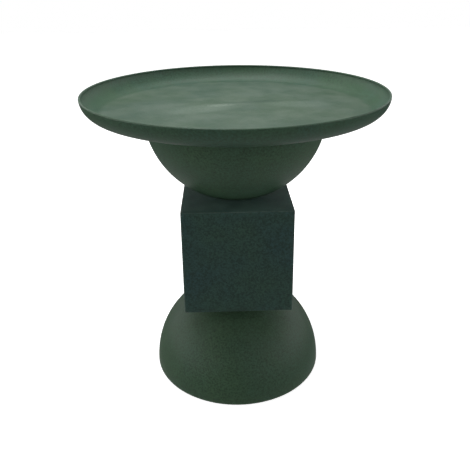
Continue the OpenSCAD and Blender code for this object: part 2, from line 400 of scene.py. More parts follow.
def mark_edges(mesh: bpy.types.Mesh) -> None:
    """Stores how sharply the surface turns outward at each point, for edge wear and painted edge light."""
    shape = bmesh.new()
    shape.from_mesh(mesh)
    layer = shape.verts.layers.float.new(EDGE)
    for vert in shape.verts:
        turns = [e.calc_face_angle_signed(0.0) for e in vert.link_edges if len(e.link_faces) == 2]
        sharpness = (max(turns, default=0.0) - SOFT_TURN) / (HARD_TURN - SOFT_TURN)
        vert[layer] = min(1.0, max(0.0, sharpness))
    shape.to_mesh(mesh)
    shape.free()


def piece_from(name: str, form: Form, holes: Sequence[Hole] = ()) -> bpy.types.Object:
    """Turns a form into a piece in the scene.

    Args:
        name: Name of the piece.
        form: Its shape.
        holes: Round holes drilled down through it.

    Returns:
        The new object, smooth apart from its sharp edges.
    """
    mesh = drill(form.mesh(name), holes)
    mesh.name = name
    mark_edges(mesh)
    mesh.polygons.foreach_set("use_smooth", [True] * len(mesh.polygons))
    mesh.set_sharp_from_angle(angle=SHARP)
    piece = bpy.data.objects.new(name, mesh)
    bpy.context.scene.collection.objects.link(piece)
    return piece


@dataclass(frozen=True)
class Extent:
    """Place and size of a node, from the frame."""

    low: Vector
    high: Vector

    @classmethod
    def of(cls, node: str) -> "Extent":
        """Extent of a node at rest."""
        return cls(*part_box(node))

    @property
    def radius(self) -> float:
        """Half of its width."""
        return (self.high.x - self.low.x) / 2

    @property
    def bottom(self) -> float:
        """Height of its lowest point."""
        return self.low.z

    @property
    def top(self) -> float:
        """Height of its highest point."""
        return self.high.z

    @property
    def height(self) -> float:
        """From its lowest point to its highest."""
        return self.high.z - self.low.z

    def offset(self, reach: float, turn: float) -> float:
        """Distance from the axis to a copy of this radius that stands outermost, at this angle."""
        return (self.high.x - reach) / math.cos(math.radians(turn))

    def ring(self, inner: float, fillet: float, count: int = ROUND, outer: float = 0.0) -> Form:
        """A flat ring from its bottom to its top.

        Args:
            inner: Radius of the bore, or 0 for a disc.
            fillet: Radius of its corners.
            count: Points round it.
            outer: Its outer radius, which is the node's own when this is 0.

        Returns:
            The ring, standing on the axis.
        """
        return turned(ring(outer or self.radius, inner, self.bottom, self.top, fillet), count)


# ---------------------------------------------------------------- shader nodes


class Wiring:
    """Adds and joins the nodes of one material, world or node group."""

    def __init__(self, tree: bpy.types.NodeTree) -> None:
        """Takes the tree that the nodes go into."""
        self.tree = tree

    def add(self, kind: str, **settings: Any) -> bpy.types.Node:
        """A new node of a kind, with its settings."""
        node = self.tree.nodes.new("ShaderNode" + kind)
        for key, value in settings.items():
            setattr(node, key, value)
        return node

    def feed(self, socket: Socket, value: Any) -> None:
        """Links a socket to another, or gives it a plain value."""
        if isinstance(value, Socket):
            self.tree.links.new(value, socket)
        else:
            socket.default_value = value

    def math(self, operation: str, first: Any, second: Any = 0.0, clamp: bool = False) -> Socket:
        """Result of a sum on two values."""
        node = self.add("Math", operation=operation, use_clamp=clamp)
        self.feed(node.inputs[0], first)
        self.feed(node.inputs[1], second)
        return node.outputs[0]

    def vector(self, operation: str, first: Any, second: Any) -> bpy.types.Node:
        """Node of a sum on two vectors."""
        node = self.add("VectorMath", operation=operation)
        self.feed(node.inputs[0], first)
        self.feed(node.inputs[1], second)
        return node

    def parts(self, vector: Socket) -> Any:
        """The three parts of a vector."""
        node = self.add("SeparateXYZ")
        self.feed(node.inputs[0], vector)
        return node.outputs

    def span(self, value: Any, low: Any, high: Any, out_low: Any = 0.0, out_high: Any = 1.0) -> Socket:
        """A value carried smoothly from one span of numbers to another, and held at its ends."""
        node = self.add("MapRange", interpolation_type="SMOOTHSTEP", clamp=True)
        for socket, number in zip(node.inputs, (value, low, high, out_low, out_high)):
            self.feed(socket, number)
        return node.outputs[0]

    def noise(self, at: Any, scale: Any, detail: float, roughness: float) -> Socket:
        """Cloudy value from 0 to 1, with so many lumps to the metre."""
        node = self.add("TexNoise", noise_dimensions="3D")
        self.feed(node.inputs["Vector"], at)
        self.feed(node.inputs["Scale"], scale)
        node.inputs["Detail"].default_value = detail
        node.inputs["Roughness"].default_value = roughness
        return node.outputs["Fac"]

    def mix(self, factor: Any, first: Any, second: Any) -> Socket:
        """Mix of two colours."""
        node = self.add("Mix", data_type="RGBA", blend_type="MIX")
        for socket, value in ((node.inputs[0], factor), (node.inputs[6], first), (node.inputs[7], second)):
            self.feed(socket, (*value, 1.0) if isinstance(value, tuple) else value)
        return node.outputs[2]

    def axis_distance(self, at: Any) -> Socket:
        """How far a place is from the table's axis."""
        level = self.vector("MULTIPLY", at, (1.0, 1.0, 0.0)).outputs[0]
        length = self.add("VectorMath", operation="LENGTH")
        self.feed(length.inputs[0], level)
        return length.outputs["Value"]

    def bump(self, height: Any, distance: float) -> Socket:
        """Normal of a surface raised by a height map, in metres at full height."""
        node = self.add("Bump")
        node.inputs["Strength"].default_value = 1.0
        node.inputs["Distance"].default_value = distance
        self.feed(node.inputs["Height"], height)
        return node.outputs["Normal"]

    def place(self, group: bpy.types.NodeTree, **values: Any) -> Any:
        """Outputs of a node group, its inputs fed; an underscore in a name stands for a space."""
        node = self.add("Group", node_tree=group)
        for key, value in values.items():
            self.feed(node.inputs[key.replace("_", " ")], value)
        return node.outputs


class Effects:
    """Node groups that the finishes share, each made once."""

    def __init__(self) -> None:
        """Builds every group."""
        self.grain = self._grain()
        self.drift = self._drift()
        self.dust_and_light = self._dust_and_light()
        self.wear = self._wear()
        self.rings = self._rings()
        self.painted_reflection = self._painted_reflection()

    @staticmethod
    def _group(name: str, inputs: dict[str, str], outputs: dict[str, str]) -> tuple[Wiring, Any, Any]:
        """An empty group.

        Args:
            name: Its name.
            inputs: Kind of each named input: Float, Vector or Color.
            outputs: Kind of each named output.

        Returns:
            Its wiring, the sockets that bring values in, and those that take them out.
        """
        tree = bpy.data.node_groups.new(name, "ShaderNodeTree")
        for direction, sockets in (("INPUT", inputs), ("OUTPUT", outputs)):
            for label, kind in sockets.items():
                tree.interface.new_socket(name=label, in_out=direction, socket_type="NodeSocket" + kind)
        source = tree.nodes.new("NodeGroupInput")
        target = tree.nodes.new("NodeGroupOutput")
        return Wiring(tree), source.outputs, target.inputs

    def _grain(self) -> bpy.types.NodeTree:
        """Fine orange-peel texture: a height and a paler or darker speckle."""
        wires, given, out = self._group(
            "surface_grain", {"At": "Vector", "Size": "Float"}, {"Height": "Float", "Speckle": "Float"}
        )
        scale = wires.math("DIVIDE", 1.0, given["Size"])
        lumps = wires.noise(given["At"], scale, 3.0, 0.6)
        cells = wires.add("TexVoronoi", feature="SMOOTH_F1")
        wires.feed(cells.inputs["Vector"], given["At"])
        wires.feed(cells.inputs["Scale"], wires.math("MULTIPLY", scale, 0.8))
        height = wires.math("SUBTRACT", lumps, wires.math("MULTIPLY", cells.outputs["Distance"], 0.45))
        wires.feed(out["Height"], wires.math("ADD", height, 0.3))
        fine = wires.noise(given["At"], wires.math("MULTIPLY", scale, 0.55), 4.0, 0.75)
        wires.feed(out["Speckle"], wires.span(fine, 0.34, 0.64))
        return wires.tree

    def _drift(self) -> bpy.types.NodeTree:
        """Slow change from one tone to another."""
        wires, given, out = self._group(
            "tone_drift",
            {"At": "Vector", "Size": "Float", "Tone": "Color", "Second Tone": "Color", "Amount": "Float"},
            {"Colour": "Color"},
        )
        cloud = wires.noise(given["At"], wires.math("DIVIDE", 1.0, given["Size"]), 3.0, 0.55)
        factor = wires.math("MULTIPLY", wires.span(cloud, 0.32, 0.68), given["Amount"])
        wires.feed(out["Colour"], wires.mix(factor, given["Tone"], given["Second Tone"]))
        return wires.tree

    def _dust_and_light(self) -> bpy.types.NodeTree:
        """Paler where a surface faces up, mostly within a radius: settled dust, and painted light on the tray
        floor and block top.
        """
        wires, given, out = self._group(
            "dust_and_painted_light",
            {"At": "Vector", "Size": "Float", "Amount": "Float", "Reach": "Float", "Within": "Float"},
            {"Mask": "Float"},
        )
        facing = wires.parts(wires.add("NewGeometry").outputs["Normal"])
        lying = wires.math("DIVIDE", facing["Z"], given["Reach"], clamp=True)
        inside = wires.math("SUBTRACT", given["Within"], wires.axis_distance(given["At"]))
        lying = wires.math("MULTIPLY", lying, wires.span(inside, 0.0, 12 * MM, 0.25, 1.0))
        cloud = wires.noise(given["At"], wires.math("DIVIDE", 1.0, given["Size"]), 5.0, 0.65)
        patch = wires.math("MULTIPLY", lying, wires.span(cloud, 0.3, 0.75, 0.35, 1.0))
        wires.feed(out["Mask"], wires.math("MULTIPLY", patch, given["Amount"]))
        return wires.tree

    def _wear(self) -> bpy.types.NodeTree:
        """Edges rubbed thin, broken up by noise; on the block and tray this mask also lays painted edge highlight
        and shade.
        """
        wires, given, out = self._group(
            "edge_wear_and_light",
            {"At": "Vector", "Edge": "Float", "Size": "Float", "Amount": "Float"},
            {"Mask": "Float"},
        )
        cloud = wires.noise(given["At"], wires.math("DIVIDE", 1.0, given["Size"]), 4.0, 0.7)
        broken = wires.span(cloud, 0.35, 0.62, 0.25, 1.0)
        rubbed = wires.math("MULTIPLY", wires.span(given["Edge"], 0.1, 0.8), broken)
        wires.feed(out["Mask"], wires.math("MULTIPLY", rubbed, given["Amount"], clamp=True))
        return wires.tree

    def _rings(self) -> bpy.types.NodeTree:
        """Faint rings left by a lathe or a spinning tool, centred on the table's axis."""
        wires, given, out = self._group(
            "turned_rings", {"At": "Vector", "Pitch": "Float"}, {"Height": "Float"}
        )
        line = wires.add("TexNoise", noise_dimensions="1D")
        wires.feed(line.inputs["W"], wires.math("DIVIDE", wires.axis_distance(given["At"]), given["Pitch"]))
        line.inputs["Scale"].default_value = 1.0
        line.inputs["Detail"].default_value = 3.0
        wires.feed(out["Height"], line.outputs["Fac"])
        return wires.tree

    def _painted_reflection(self) -> bpy.types.NodeTree:
        """One soft elongated painted reflection on a level surface."""
        wires, given, out = self._group(
            "painted_reflection_mark",
            {"At": "Vector", "Centre": "Vector", "Length": "Float", "Width": "Float", "Turn": "Float"},
            {"Mask": "Float"},
        )
        spin = wires.add("VectorRotate", rotation_type="Z_AXIS")
        wires.feed(spin.inputs["Vector"], wires.vector("SUBTRACT", given["At"], given["Centre"]).outputs[0])
        wires.feed(spin.inputs["Angle"], wires.math("MULTIPLY", given["Turn"], -1.0))
        x, y, _ = wires.parts(spin.outputs[0])

        def squared(offset: Socket, size: Socket) -> Socket:
            """Square of how many sizes away something is."""
            return wires.math("POWER", wires.math("ABSOLUTE", wires.math("DIVIDE", offset, size)), 2.0)

        away = wires.math("ADD", squared(x, given["Length"]), squared(y, given["Width"]))
        near = wires.span(away, 1.0, 0.0)
        streak = wires.span(wires.noise(given["At"], 240.0, 4.0, 0.7), 0.3, 0.65, 0.3, 1.0)
        wires.feed(out["Mask"], wires.math("MULTIPLY", near, streak))
        return wires.tree


class Coating(Wiring):
    """One material being made: its wiring, its shader and the effects laid in it."""

    def __init__(self, name: str, effects: Effects) -> None:
        """Starts a material with one shader, on the coordinates of the piece.

        Args:
            name: Name of the material.
            effects: The shared node groups.
        """
        self.material = bpy.data.materials.new(name)
        self.material.use_nodes = True
        self.material.node_tree.nodes.clear()
        super().__init__(self.material.node_tree)
        self.effects = effects
        self.shader = self.add("BsdfPrincipled")
        self.feed(self.add("OutputMaterial").inputs["Surface"], self.shader.outputs["BSDF"])
        self.at = self.add("TexCoord").outputs["Object"]

    def put(self, socket: str, value: Any) -> None:
        """Gives one of the shader's sockets a link or a plain value."""
        self.feed(self.shader.inputs[socket], value)

    def grain(self, size: float) -> Any:
        """Height and speckle of a fine texture."""
        return self.place(self.effects.grain, At=self.at, Size=size)

    def tones(self, first: Colour, second: Colour, size: float, amount: float) -> Socket:
        """Colour that drifts from one tone to another, in patches of a size."""
        return self.place(
            self.effects.drift, At=self.at, Size=size, Tone=(*first, 1), Second_Tone=(*second, 1), Amount=amount
        )["Colour"]

    def wear(self, size: float, amount: float) -> Socket:
        """Where the outer edges are rubbed, in patches of a size; on the block and tray also where edge light is
        painted.
        """
        edge = self.add("Attribute", attribute_name=EDGE).outputs["Fac"]
        return self.place(self.effects.wear, At=self.at, Edge=edge, Size=size, Amount=amount)["Mask"]

    def rings(self, pitch: float) -> Socket:
        """Height of the rings left by turning."""
        return self.place(self.effects.rings, At=self.at, Pitch=pitch)["Height"]


@dataclass(frozen=True)
class Finish:
    """What every finish has: a name for its material and a slot of the record."""

    name: str
    slot: Slot

    def lay(self, coat: Coating) -> None:
        """Joins the nodes of this finish in a material that has just been started."""
        raise NotImplementedError


@dataclass(frozen=True)
class PaintedReflection:
    """A soft painted reflection on the tray's floor, placed from its middle, in metres and degrees."""

    x: float
    y: float
    length: float
    width: float
    turn: float
    tone: Colour
    strength: float

    def lay(self, coat: Coating, colour: Socket) -> Socket:
        """The colour with this painted reflection over it."""
        mark = coat.place(
            coat.effects.painted_reflection, At=coat.at, Centre=(self.x, self.y, 0.0), Length=self.length,
            Width=self.width, Turn=math.radians(self.turn),
        )
        return coat.mix(coat.math("MULTIPLY", mark["Mask"], self.strength), colour, self.tone)


@dataclass(frozen=True)
class PowderCoat(Finish):
    """Matt powder coat: orange peel, a slow drift of tone, dust and painted light on top, and rubbed edges that
    also carry painted edge light.
    """

    tone: Colour = (0.037, 0.083, 0.041)
    second_tone: Colour = (0.032, 0.077, 0.047)
    edge_tone: Colour = (0.16, 0.20, 0.17)
    dust_and_light_tone: Colour = (0.20, 0.24, 0.20)
    roughness: float = 0.52
    gloss: float = 0.24
    peel_size: float = 1.7 * MM
    peel_depth: float = 0.24 * MM
    ring_share: float = 0.6         # height of the rings against that of the peel
    drift_size: float = 0.11
    drift_amount: float = 0.9
    dust_and_light: float = 0.09
    dust_size: float = 0.05
    dust_reach: float = 0.9         # how far up a surface faces when it holds all of its dust
    dust_and_light_within: float = 10.0       # radius beyond which a quarter of the dust and painted light lies; the tray's keeps its floor lighter than its wall
    wear: float = 0.55
    wear_size: float = 9 * MM
    wear_tint: float = 0.5
    mottle: float = 0.48            # darkest speckle against the tone
    ring_pitch: float = 0.0
    painted_reflections: tuple[PaintedReflection, ...] = ()

    def lay(self, coat: Coating) -> None:
        """Joins the nodes of the powder coat."""
        grain = coat.grain(self.peel_size)
        drift = coat.tones(self.tone, self.second_tone, self.drift_size, self.drift_amount)
        dust_and_light = coat.place(
            coat.effects.dust_and_light, At=coat.at, Size=self.dust_size, Amount=self.dust_and_light, Reach=self.dust_reach,
            Within=self.dust_and_light_within,
        )["Mask"]
        wear = coat.wear(self.wear_size, self.wear)
        colour = coat.mix(grain["Speckle"], tuple(c * self.mottle for c in self.tone), drift)
        # Paler tone where surfaces face up: settled dust, and painted light on the tray floor and the block top.
        colour = coat.mix(dust_and_light, colour, self.dust_and_light_tone)
        # Lays the painted reflections, which only the tray's floor has.
        for painted_reflection in self.painted_reflections:
            colour = painted_reflection.lay(coat, colour)
        # Edge tone over the wear mask: rubbed paint, a painted highlight on the block's edges and painted shade
        # on the tray's rim.
        coat.put("Base Color", coat.mix(coat.math("MULTIPLY", wear, self.wear_tint), colour, self.edge_tone))
        coat.put("Specular IOR Level", self.gloss)
        rough = coat.span(grain["Speckle"], 0.0, 1.0, self.roughness - 0.05, self.roughness + 0.06)
        rough = coat.math("ADD", rough, coat.math("MULTIPLY", dust_and_light, 0.5), clamp=True)
        coat.put("Roughness", coat.math("SUBTRACT", rough, coat.math("MULTIPLY", wear, 0.12), clamp=True))
        height = grain["Height"]
        if self.ring_pitch > 0:
            rings = coat.math("MULTIPLY", coat.rings(self.ring_pitch), self.ring_share)
            height = coat.math("ADD", height, rings)
        coat.put("Normal", coat.bump(height, self.peel_depth))


@dataclass(frozen=True)
class PlatedSteel(Finish):
    """Zinc-plated steel: grey-yellow drift, fine turned lines and bright edges."""

    tone: Colour = (0.42, 0.43, 0.44)
    second_tone: Colour = (0.47, 0.45, 0.38)
    edge_tone: Colour = (0.72, 0.72, 0.72)
    roughness: float = 0.34
    drift_size: float = 0.012
    drift_amount: float = 0.8
    wear: float = 0.7
    wear_size: float = 3 * MM
    grain_size: float = 0.5 * MM
    line_pitch: float = 0.25 * MM
    depth: float = 0.02 * MM

    def lay(self, coat: Coating) -> None:
        """Joins the nodes of the plated steel."""
        drift = coat.tones(self.tone, self.second_tone, self.drift_size, self.drift_amount)
        grain = coat.grain(self.grain_size)
        rings = coat.rings(self.line_pitch)
        coat.put("Base Color", coat.mix(coat.wear(self.wear_size, self.wear), drift, self.edge_tone))
        coat.put("Metallic", 1.0)
        coat.put("Roughness", coat.span(grain["Speckle"], 0.0, 1.0, self.roughness - 0.08, self.roughness + 0.12))
        coat.put("Normal", coat.bump(coat.math("ADD", grain["Height"], rings), self.depth))


@dataclass(frozen=True)
class CastIron(Finish):
    """Rough sand-cast iron with a dark oxide skin and a few rusty spots."""

    tone: Colour = (0.035, 0.035, 0.038)
    rust_tone: Colour = (0.13, 0.055, 0.025)
    edge_tone: Colour = (0.16, 0.15, 0.15)
    drift_size: float = 0.03
    drift_amount: float = 0.3
    wear: float = 0.8
    wear_size: float = 5 * MM
    wear_shine: float = 0.6
    grain_size: float = 2.2 * MM
    depth: float = 0.35 * MM

    def lay(self, coat: Coating) -> None:
        """Joins the nodes of the cast iron."""
        drift = coat.tones(self.tone, self.rust_tone, self.drift_size, self.drift_amount)
        grain = coat.grain(self.grain_size)
        wear = coat.wear(self.wear_size, self.wear)
        coat.put("Base Color", coat.mix(wear, drift, self.edge_tone))
        coat.put("Metallic", coat.math("MULTIPLY", wear, self.wear_shine))
        coat.put("Roughness", coat.span(grain["Speckle"], 0.0, 1.0, 0.6, 0.85))
        coat.put("Normal", coat.bump(grain["Height"], self.depth))


@dataclass(frozen=True)
class SoftBlack(Finish):
    """Black rubber or moulded plastic: pebbled skin, grey bloom and scuffed edges."""

    tone: Colour
    bloom_tone: Colour
    roughness: float
    pebble: float
    scuffed_tone: Colour = (0.13, 0.13, 0.125)
    drift_size: float = 0.02
    drift_amount: float = 0.6
    wear: float = 0.5
    wear_size: float = 4 * MM
    wear_tint: float = 0.35
    depth: float = 0.06 * MM

    def lay(self, coat: Coating) -> None:
        """Joins the nodes of the rubber or plastic."""
        drift = coat.tones(self.tone, self.bloom_tone, self.drift_size, self.drift_amount)
        grain = coat.grain(self.pebble)
        scuffed = coat.math("MULTIPLY", coat.wear(self.wear_size, self.wear), self.wear_tint)
        coat.put("Base Color", coat.mix(scuffed, drift, self.scuffed_tone))
        coat.put("Roughness", coat.span(grain["Speckle"], 0.0, 1.0, self.roughness - 0.07, self.roughness + 0.08))
        coat.put("Normal", coat.bump(grain["Height"], self.depth))


class Workshop:
    """Dresses pieces, fixes them to their bodies and reports them."""

    def __init__(self) -> None:
        """Makes the shared node groups and an empty store for the materials, which are made on first use."""
        self.effects = Effects()
        self.made: dict[str, bpy.types.Material] = {}

    def material(self, finish: Finish) -> bpy.types.Material:
        """The material of a finish, made on first use."""
        if finish.name not in self.made:
            coat = Coating(finish.name, self.effects)
            finish.lay(coat)
            self.made[finish.name] = coat.material
        return self.made[finish.name]

    def fit(
        self, node: str, name: str, form: Form, finish: Finish, holes: Sequence[Hole] = (), body: str = "root"
    ) -> None:
        """Makes a piece, dresses it and puts it in the place of a node.

        Args:
            node: The node that it stands for.
            name: Name of the piece.
            form: Its shape.
            finish: Its finish, which also says the record's slot.
            holes: Round holes drilled down through it.
            body: The body that it moves with.
        """
        piece = piece_from(name, form, holes)
        piece.data.materials.append(self.material(finish))
        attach(piece, body)
        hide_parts(node)
        LOG.info("%-24s stands for %-22s %6d points, rides %s", name, node, len(piece.data.vertices), body)


# ---------------------------------------------------------------- finishes of this table


# Pale tone of the painted reflections on the tray's floor.
PALE_REFLECTION: Colour = (0.19, 0.24, 0.20)
PAINT = PowderCoat("powder_coat", Slot.PAINT)
BLOCK_PAINT = PowderCoat(
    # The heavy wear lightens the block's edges: rubbed paint with a painted highlight along the top and bottom
    # edges.
    "block_powder_coat", Slot.PAINT, tone=(0.031, 0.071, 0.051), second_tone=(0.025, 0.061, 0.066), wear=0.9,
    # The heavy bluish dust lightens the shaded top panel: dust with painted light, coloured like the top in
    # shade.
    dust_and_light=0.45, dust_and_light_tone=(0.13, 0.22, 0.19),
)
TRAY_PAINT = PowderCoat(
    "tray_powder_coat", Slot.PAINT, tone=(0.034, 0.079, 0.042), second_tone=(0.030, 0.074, 0.052),
    # The dark edge tone over the wear mask darkens the rolled rim's edges: painted shade, a dark outline rather
    # than rubbed paint.
    edge_tone=(0.030, 0.045, 0.033), dust_and_light_tone=(0.19, 0.222, 0.19), dust_and_light=0.30, dust_reach=0.4,
    # The grey dust held within 223 mm lies on the floor and not the wall: dust with painted light that keeps the
    # floor lighter and greyer than the wall.
    dust_and_light_within=223 * MM, wear=0.8, peel_depth=0.18 * MM, mottle=0.58, ring_pitch=4 * MM,
    # Painted reflections on the floor: pale streaks and a dark arc standing in for light off the wavy sheet.
    painted_reflections=(
        PaintedReflection(-0.055, -0.010, 0.075, 0.034, 18.0, PALE_REFLECTION, 0.30),
        PaintedReflection(0.105, 0.012, 0.070, 0.030, -6.0, PALE_REFLECTION, 0.26),
        PaintedReflection(0.041, 0.036, 0.060, 0.012, 8.0, (0.02, 0.045, 0.035), 0.42),
        PaintedReflection(-0.022, 0.012, 0.030, 0.013, 14.0, (0.27, 0.32, 0.28), 0.27),
    ),
)
INNER_PAINT = PowderCoat("inner_powder_coat", Slot.PAINT, dust_and_light=0.05, wear=0.3)
ZINC = PlatedSteel("zinc_plate", Slot.ZINC)
IRON = CastIron("sand_cast_iron", Slot.IRON)
RUBBER = SoftBlack(
    "black_rubber", Slot.RUBBER, (0.012, 0.012, 0.012), (0.024, 0.024, 0.023), roughness=0.62, pebble=0.9 * MM
)
PLASTIC = SoftBlack(
    "moulded_black", Slot.PLASTIC, (0.014, 0.014, 0.015), (0.024, 0.024, 0.024), roughness=0.42, pebble=0.6 * MM
)


# ---------------------------------------------------------------- the table's sub-assemblies


@dataclass
class Tray:
    """Spun tray with a rounded wall and a rolled edge, held from below by a hub."""

    shop: Workshop
    sheet: float = 2.0 * MM
    bead: float = 1.75 * MM
    bead_sweep: float = 245.0       # how far the edge is rolled over, in degrees
    bead_meets: float = -7.5        # angle at which it meets the inside of the wall
    ripple: float = 0.25 * MM
    ripples_per_metre: float = 11.0
    stud_radius: float = 2.5 * MM
    stud_pitch: float = 0.8 * MM
    stud_bore: float = 2.55 * MM
    washer_radius: float = 5.0 * MM
    nut_flats: float = 4.0 * MM
    boss_radius: float = 15.0 * MM
    bore_radius: float = 5.0 * MM
    hub_sheet: float = 3.0 * MM
    clearance: float = 0.5 * MM
    gasket_width: float = 14.0 * MM
    floor_steps: int = 36

    def build(self) -> None:
        """Makes and fits every piece of the tray."""
        self._pan()
        self._hub()
        self._fasteners()
        gasket = Extent.of("tray_gasket")
        form = gasket.ring(gasket.radius - self.gasket_width, 0.3 * MM, WIDE_ROUND)
        self.shop.fit("tray_gasket", "tray_gasket_ring", form, RUBBER)

    def _pan(self) -> None:
        """The tray itself."""
        box = Extent.of("tray")
        flat, wall = box.radius - box.height, box.height
        centre, lip = (flat, box.top), (box.radius - self.bead, box.top - self.bead)
        lip_turn = math.degrees(math.asin(self.bead / wall))
        radii = [flat * i / self.floor_steps for i in range(self.floor_steps)]
        outline = [(r, box.bottom) for r in radii]
        outline += arc(centre, wall, -90, -lip_turn, 26)
        outline += arc(lip, self.bead, 0, self.bead_sweep, 14)
        outline += arc(centre, wall - self.sheet, self.bead_meets, -90, 24)
        outline += [(r, box.bottom + self.sheet) for r in reversed(radii)]

        def settle(p: Vector) -> Vector:
            """Ripples the upper face of the floor, less toward the wall."""
            away = math.hypot(p.x, p.y) / flat
            if p.z < box.bottom + self.sheet / 2 or away >= 1:
                return p
            lump = noise.noise(Vector((p.x, p.y, 0)) * self.ripples_per_metre)
            return p + Vector((0, 0, self.ripple * (1 - away**4) * lump))

        self.shop.fit("tray", "tray_pan", turned(outline, WIDE_ROUND).moved(settle), TRAY_PAINT)

    def _hub(self) -> None:
        """Disc with a threaded boss."""
        box = Extent.of("tray_hub")
        disc = box.top - self.hub_sheet
        corners = [
            (0, disc, 0), (self.bore_radius, disc, 0), (self.bore_radius, box.bottom, 0.8 * MM),
            (self.boss_radius, box.bottom, 0.8 * MM), (self.boss_radius, disc, 2 * MM),
            (box.radius, disc, 0.5 * MM), (box.radius, box.top, 0.5 * MM), (0, box.top, 0),
        ]
        studs = Extent.of("tray_weld_studs").offset(self.stud_radius, SQUARE_TURNS[0])
        holes = holes_around(studs, SQUARE_TURNS, self.stud_radius + self.clearance)
        self.shop.fit("tray_hub", "tray_hub_disc", turned(filleted(corners), WIDE_ROUND), ZINC, holes)

    def _fasteners(self) -> None:
        """Weld studs under the tray, with their washers and nuts."""
        box = Extent.of("tray_weld_studs")
        offset = box.offset(self.stud_radius, SQUARE_TURNS[0])
        thread = thread_loops(self.stud_radius, self.stud_pitch, box.bottom, box.top, ROD_ROUND)
        studs = Form().skin([pole(box.bottom, ROD_ROUND), *thread, pole(box.top, ROD_ROUND)], False)
        washer = Extent.of("hub_washers").ring(self.stud_bore, 0.2 * MM, outer=self.washer_radius)
        box = Extent.of("hub_nuts")
        nut = hex_nut(self.nut_flats, self.stud_bore, box.bottom, box.top, 0.5 * MM)
        for node, name, form in (
            ("tray_weld_studs", "tray_studs", studs),
            ("hub_washers", "hub_plain_washers", washer),
            ("hub_nuts", "hub_hex_nuts", nut),
        ):
            self.shop.fit(node, name, form.around(offset, SQUARE_TURNS), ZINC)


@dataclass
class Seats:
    """What joins the bowl, the block and the dome: gaskets, locating pins and spacer tubes."""

    shop: Workshop
    rod_hole: float = 5.5 * MM
    pin_offset: float = 24.0 * MM
    pin_radius: float = 2.5 * MM
    pin_hole: float = 2.55 * MM
    pin_turns: tuple[float, float] = (0.0, 180.0)
    tube_radius: float = 10.0 * MM
    tube_bore: float = 8.0 * MM

    def pin_holes(self) -> list[Hole]:
        """Holes for the two pins of a seat."""
        return holes_around(self.pin_offset, self.pin_turns, self.pin_hole)

    def build(self) -> None:
        """Makes and fits the gaskets and pins of both seats."""
        for level in ("upper", "lower"):
            node = f"{level}_seat_gasket"
            gasket = Extent.of(node).ring(self.rod_hole, 0.3 * MM)
            self.shop.fit(node, f"{level}_gasket_disc", gasket, RUBBER, self.pin_holes())
            node = f"{level}_locating_pins"
            pin = Extent.of(node).ring(0, 0.6 * MM, BOLT_ROUND, self.pin_radius)
            self.shop.fit(node, f"{level}_dowels", pin.around(self.pin_offset, self.pin_turns), ZINC)

    def fit_tube(self, part: str) -> None:
        """Makes and fits the spacer tube round the rod inside a part of the stack."""
        node = f"{part}_spacer_tube"
        tube = Extent.of(node).ring(self.tube_bore, 0.4 * MM, outer=self.tube_radius)
        self.shop.fit(node, f"{part}_tube", tube, ZINC)


@dataclass
class Pressing:
    """Half-sphere pressing with a flat drilled seat, and the pieces inside it."""

    shop: Workshop
    seats: Seats
    part: str
    upside_down: bool
    sheet: float = 1.5 * MM
    seat_bend: float = 6.0 * MM
    waviness: float = 0.2 * MM
    wave_size: float = 0.06
    ring_width: float = 19.0 * MM
    screw_hole: float = 2.55 * MM

    def build(self) -> None:
        """Makes and fits the shell, its saddle washer, its welded ring and its spacer tube."""
        self._shell()
        node = f"{self.part}_saddle_washer"
        saddle = Extent.of(node).ring(self.seats.rod_hole, 0.8 * MM)
        self.shop.fit(node, f"{self.part}_saddle", saddle, ZINC, self.seats.pin_holes())
        self._welded_ring()
        self.seats.fit_tube(self.part)

    def _shell(self) -> None:
        """The pressing, mouth down unless it is upside down."""
        box = Extent.of(f"{self.part}_shell")
        radius, height, hole = box.radius, box.height, self.seats.rod_hole
        bend_z = height - self.seat_bend
        bend_x = math.sqrt((radius - self.seat_bend) ** 2 - bend_z**2)
        lowest = math.degrees(math.atan2(bend_z, bend_x))

        def side(depth: float, last: float) -> Outline:
            """One face of the sheet, from the rod's hole to the open end."""
            seat = [(hole + (bend_x - hole) * i / 6, height - depth) for i in range(6)]
            bend = arc((bend_x, bend_z), self.seat_bend - depth, 90, lowest, 6)
            return seat + bend[:-1] + arc((0, 0), radius - depth, lowest, last, 40)

        edge = self.sheet / 2
        lift = math.degrees(edge / radius)
        rounded = arc((radius - edge, edge), edge, 0, -180, 6)[1:-1]
        outline = side(0, lift) + rounded + side(self.sheet, lift)[::-1]
        form = turned(outline, WIDE_ROUND).moved(wavy(self.waviness, self.wave_size))
        if self.upside_down:
            form.moved(lambda p: Vector((p.x, p.y, box.top - p.z)))
        else:
            form.moved(lambda p: Vector((p.x, p.y, box.bottom + p.z)))
        self.shop.fit(f"{self.part}_shell", f"{self.part}_pressing", form, PAINT, self.seats.pin_holes())

    def _welded_ring(self) -> None:
        """Flat ring in the open end; the dome's has holes for the base screws."""
        node = "bowl_mouth_ring" if self.upside_down else "dome_foot_ring"
        box = Extent.of(node)
        holes: list[Hole] = []
        if not self.upside_down:
            screws = box.radius - self.ring_width / 2
            holes = holes_around(screws, even_turns(Base.screw_count), self.screw_hole)
        form = box.ring(box.radius - self.ring_width, 0.4 * MM, WIDE_ROUND)
        self.shop.fit(node, f"{node}_plate", form, INNER_PAINT, holes)


